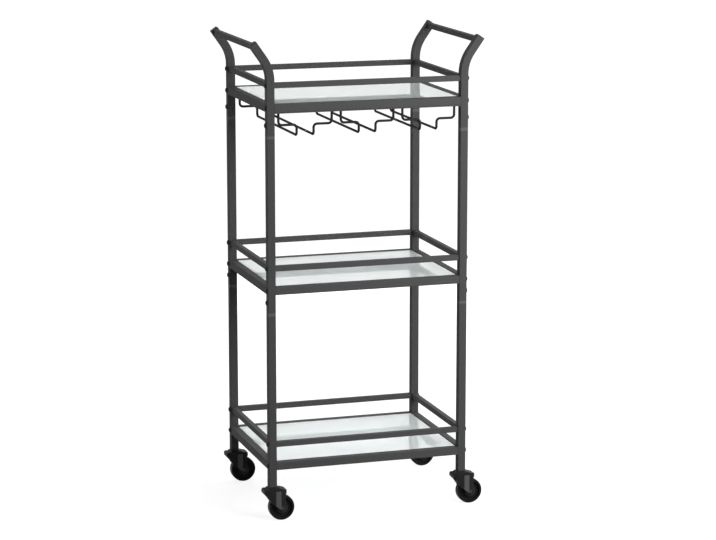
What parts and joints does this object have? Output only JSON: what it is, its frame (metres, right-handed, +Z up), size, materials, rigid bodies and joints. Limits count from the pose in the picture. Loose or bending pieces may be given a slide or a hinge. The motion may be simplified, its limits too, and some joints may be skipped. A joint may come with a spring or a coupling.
{
  "type": "kitchen cart",
  "caption": "Tall narrow serving cart of square steel tube with pale glass shelves, guard rails, a bent-wire stemware rack, push handles at both ends and braked swivel casters.",
  "frame": {"origin": "on the floor, midway between the four posts", "axes": "+X to the right along the long side, +Y to the rear, +Z up"},
  "size_m": [0.4853, 0.3242, 0.9629],
  "materials": {
    "frame_steel": "satin charcoal powder coat",
    "bolt_steel": "satin charcoal",
    "shelf_glass": "pale polished glass, not see-through",
    "caster_plastic": "moulded, satin",
    "wheel_plastic": "smooth, glossy",
    "plug_plastic": "moulded, matte",
    "axle_steel": "zinc plated"
  },
  "bodies": {
    "frame": {"bottom_front_guard_rail": "frame_steel", "bottom_front_shelf_rail": "frame_steel", "bottom_glass": "shelf_glass", "bottom_left_side_rails": "frame_steel", "bottom_rear_guard_rail": "frame_steel", "bottom_rear_shelf_rail": "frame_steel", "bottom_right_side_rails": "frame_steel", "caster_plugs": "plug_plastic", "frame_bolts": "bolt_steel", "front_left_lower_post": "frame_steel", "front_left_middle_post": "frame_steel", "front_left_upper_post": "frame_steel", "front_right_lower_post": "frame_steel", "front_right_middle_post": "frame_steel", "front_right_upper_post": "frame_steel", "glass_tabs": "frame_steel", "handle_bars": "frame_steel", "joint_sleeves": "frame_steel", "middle_front_guard_rail": "frame_steel", "middle_front_shelf_rail": "frame_steel", "middle_glass": "shelf_glass", "middle_left_side_rails": "frame_steel", "middle_rear_guard_rail": "frame_steel", "middle_rear_shelf_rail": "frame_steel", "middle_right_side_rails": "frame_steel", "post_caps": "plug_plastic", "rack_bars": "frame_steel", "rack_left_slot": "frame_steel", "rack_middle_slot": "frame_steel", "rack_right_slot": "frame_steel", "rear_left_lower_post": "frame_steel", "rear_left_middle_post": "frame_steel", "rear_left_upper_post": "frame_steel", "rear_right_lower_post": "frame_steel", "rear_right_middle_post": "frame_steel", "rear_right_upper_post": "frame_steel", "top_front_guard_rail": "frame_steel", "top_front_shelf_rail": "frame_steel", "top_glass": "shelf_glass", "top_left_side_rails": "frame_steel", "top_rear_guard_rail": "frame_steel", "top_rear_shelf_rail": "frame_steel", "top_right_side_rails": "frame_steel"},
    "front_left_caster": {"front_left_caster_fork": "caster_plastic", "front_left_caster_axle": "axle_steel"},
    "front_left_wheel": {"front_left_caster_wheel": "wheel_plastic"},
    "front_left_brake": {"front_left_brake_pedal": "caster_plastic"},
    "front_right_caster": {"front_right_caster_fork": "caster_plastic", "front_right_caster_axle": "axle_steel"},
    "front_right_wheel": {"front_right_caster_wheel": "wheel_plastic"},
    "front_right_brake": {"front_right_brake_pedal": "caster_plastic"},
    "rear_left_caster": {"rear_left_caster_fork": "caster_plastic", "rear_left_caster_axle": "axle_steel"},
    "rear_left_wheel": {"rear_left_caster_wheel": "wheel_plastic"},
    "rear_left_brake": {"rear_left_brake_pedal": "caster_plastic"},
    "rear_right_caster": {"rear_right_caster_fork": "caster_plastic", "rear_right_caster_axle": "axle_steel"},
    "rear_right_wheel": {"rear_right_caster_wheel": "wheel_plastic"},
    "rear_right_brake": {"rear_right_brake_pedal": "caster_plastic"}
  },
  "joints": [
    {"name": "front_left_swivel", "type": "hinge", "parent": "frame", "child": "front_left_caster", "pos_m": [-0.2, -0.148, 0.068], "axis": [0, 0, 1], "continuous": true},
    {"name": "front_left_roll", "type": "hinge", "parent": "front_left_caster", "child": "front_left_wheel", "pos_m": [-0.182, -0.148, 0.026], "axis": [0, 1, 0], "continuous": true},
    {"name": "front_left_brake_press", "type": "hinge", "parent": "front_left_caster", "child": "front_left_brake", "pos_m": [-0.209, -0.148, 0.056], "axis": [0, -1, 0], "range_deg": [0, 14]},
    {"name": "front_right_swivel", "type": "hinge", "parent": "frame", "child": "front_right_caster", "pos_m": [0.2, -0.148, 0.068], "axis": [0, 0, 1], "continuous": true},
    {"name": "front_right_roll", "type": "hinge", "parent": "front_right_caster", "child": "front_right_wheel", "pos_m": [0.218, -0.148, 0.026], "axis": [0, 1, 0], "continuous": true},
    {"name": "front_right_brake_press", "type": "hinge", "parent": "front_right_caster", "child": "front_right_brake", "pos_m": [0.191, -0.148, 0.056], "axis": [0, -1, 0], "range_deg": [0, 14]},
    {"name": "rear_left_swivel", "type": "hinge", "parent": "frame", "child": "rear_left_caster", "pos_m": [-0.2, 0.148, 0.068], "axis": [0, 0, 1], "continuous": true},
    {"name": "rear_left_roll", "type": "hinge", "parent": "rear_left_caster", "child": "rear_left_wheel", "pos_m": [-0.182, 0.148, 0.026], "axis": [0, 1, 0], "continuous": true},
    {"name": "rear_left_brake_press", "type": "hinge", "parent": "rear_left_caster", "child": "rear_left_brake", "pos_m": [-0.209, 0.148, 0.056], "axis": [0, -1, 0], "range_deg": [0, 14]},
    {"name": "rear_right_swivel", "type": "hinge", "parent": "frame", "child": "rear_right_caster", "pos_m": [0.2, 0.148, 0.068], "axis": [0, 0, 1], "continuous": true},
    {"name": "rear_right_roll", "type": "hinge", "parent": "rear_right_caster", "child": "rear_right_wheel", "pos_m": [0.218, 0.148, 0.026], "axis": [0, 1, 0], "continuous": true},
    {"name": "rear_right_brake_press", "type": "hinge", "parent": "rear_right_caster", "child": "rear_right_brake", "pos_m": [0.191, 0.148, 0.056], "axis": [0, -1, 0], "range_deg": [0, 14]}
  ]
}
